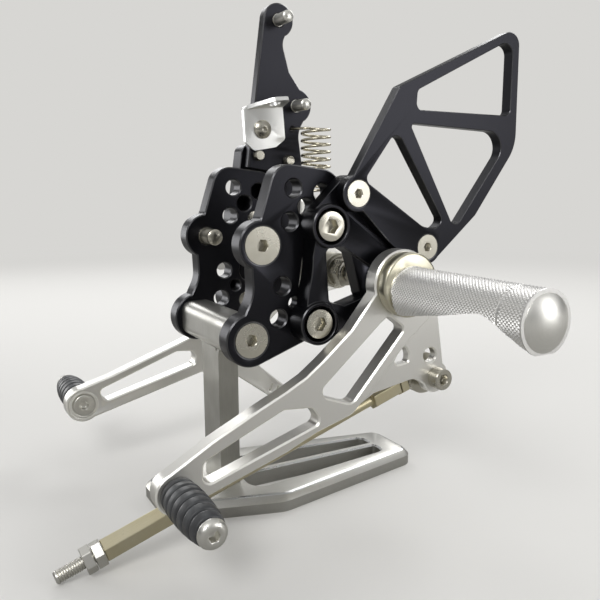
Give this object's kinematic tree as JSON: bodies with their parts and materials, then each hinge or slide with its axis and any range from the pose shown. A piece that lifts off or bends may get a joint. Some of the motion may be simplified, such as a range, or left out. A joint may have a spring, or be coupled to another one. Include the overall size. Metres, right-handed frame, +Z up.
{
  "type": "motorbike rear sets",
  "caption": "Adjustable rear sets: drilled frame plates, step brackets, knurled footpegs, shift lever with rod, brake pedal, heel guard and master cylinder bracket on a stand.",
  "frame": {"origin": "on the ground, on the middle plane, straight under the pivot line of the footpegs", "axes": "+X to the rear of the motorbike, +Y to its right side (brake side), +Z up"},
  "size_m": [0.2285, 0.289, 0.2443],
  "materials": {
    "black_anodised": "black anodised, bright bevels",
    "satin_aluminium": "satin machined",
    "stainless_screw": "satin stainless",
    "bright_sheet": "bright sheet",
    "spring_wire": "drawn wire",
    "rod_steel": "pale zinc plate",
    "bearing_bronze": "sintered bronze",
    "ring_alloy": "pale warm anodised",
    "toe_rubber": "matt rubber"
  },
  "bodies": {
    "stand": {"left_frame_plate": "black_anodised", "right_frame_plate": "black_anodised", "left_step_bracket": "black_anodised", "right_step_bracket": "black_anodised", "heel_guard": "black_anodised", "master_bracket": "black_anodised", "stand_base": "satin_aluminium", "stand_post": "satin_aluminium", "left_footpeg": "satin_aluminium", "right_footpeg": "satin_aluminium", "footpeg_end_caps": "satin_aluminium", "left_pivot_sleeve": "satin_aluminium", "crossbar_screws": "stainless_screw", "frame_screws": "stainless_screw", "bracket_screws": "stainless_screw", "guard_screws": "stainless_screw", "left_pivot_bolt": "stainless_screw", "right_pivot_bolt": "stainless_screw", "pivot_nuts": "stainless_screw", "pivot_washers": "stainless_screw", "right_spacer_tube": "stainless_screw", "master_studs": "stainless_screw", "master_bracket_screws": "stainless_screw", "switch_plate_screw": "stainless_screw", "stand_base_screws": "stainless_screw", "switch_plate": "bright_sheet", "return_spring": "spring_wire", "shaft_bush": "bearing_bronze", "pivot_rings": "ring_alloy"},
    "shift_arm": {"shift_lever": "satin_aluminium", "lever_bush": "bearing_bronze", "shift_toe_screw": "stainless_screw", "shift_toe_rubber": "toe_rubber", "link_screw": "stainless_screw", "link_spacer": "stainless_screw", "link_nut": "stainless_screw", "rod_ball": "stainless_screw"},
    "shift_rod_body": {"rod_end": "stainless_screw", "rod_jam_nut": "rod_steel", "shift_rod": "rod_steel", "rod_lock_nuts": "rod_steel", "rod_stud": "rod_steel"},
    "brake": {"brake_pedal": "satin_aluminium", "brake_shaft": "stainless_screw", "brake_arm": "satin_aluminium", "spring_pin": "stainless_screw", "brake_toe_screw": "stainless_screw", "brake_toe_rubber": "toe_rubber"}
  },
  "joints": [
    {"name": "shift_lever_pivot", "type": "hinge", "parent": "stand", "child": "shift_arm", "pos_m": [0, -0.056, 0.108], "axis": [0, 1, 0], "range_deg": [-8, 12]},
    {"name": "rod_ball_joint", "type": "hinge", "parent": "shift_arm", "child": "shift_rod_body", "pos_m": [0.0225, -0.045, 0.061], "axis": [0, 1, 0], "range_deg": [-8, 8]},
    {"name": "brake_pedal_pivot", "type": "hinge", "parent": "stand", "child": "brake", "pos_m": [0, 0.056, 0.108], "axis": [0, -1, 0], "range_deg": [0, 12], "stiffness_Nm_per_rad": 0.5, "springref_deg": -22.92, "deforming": ["return_spring"]}
  ]
}
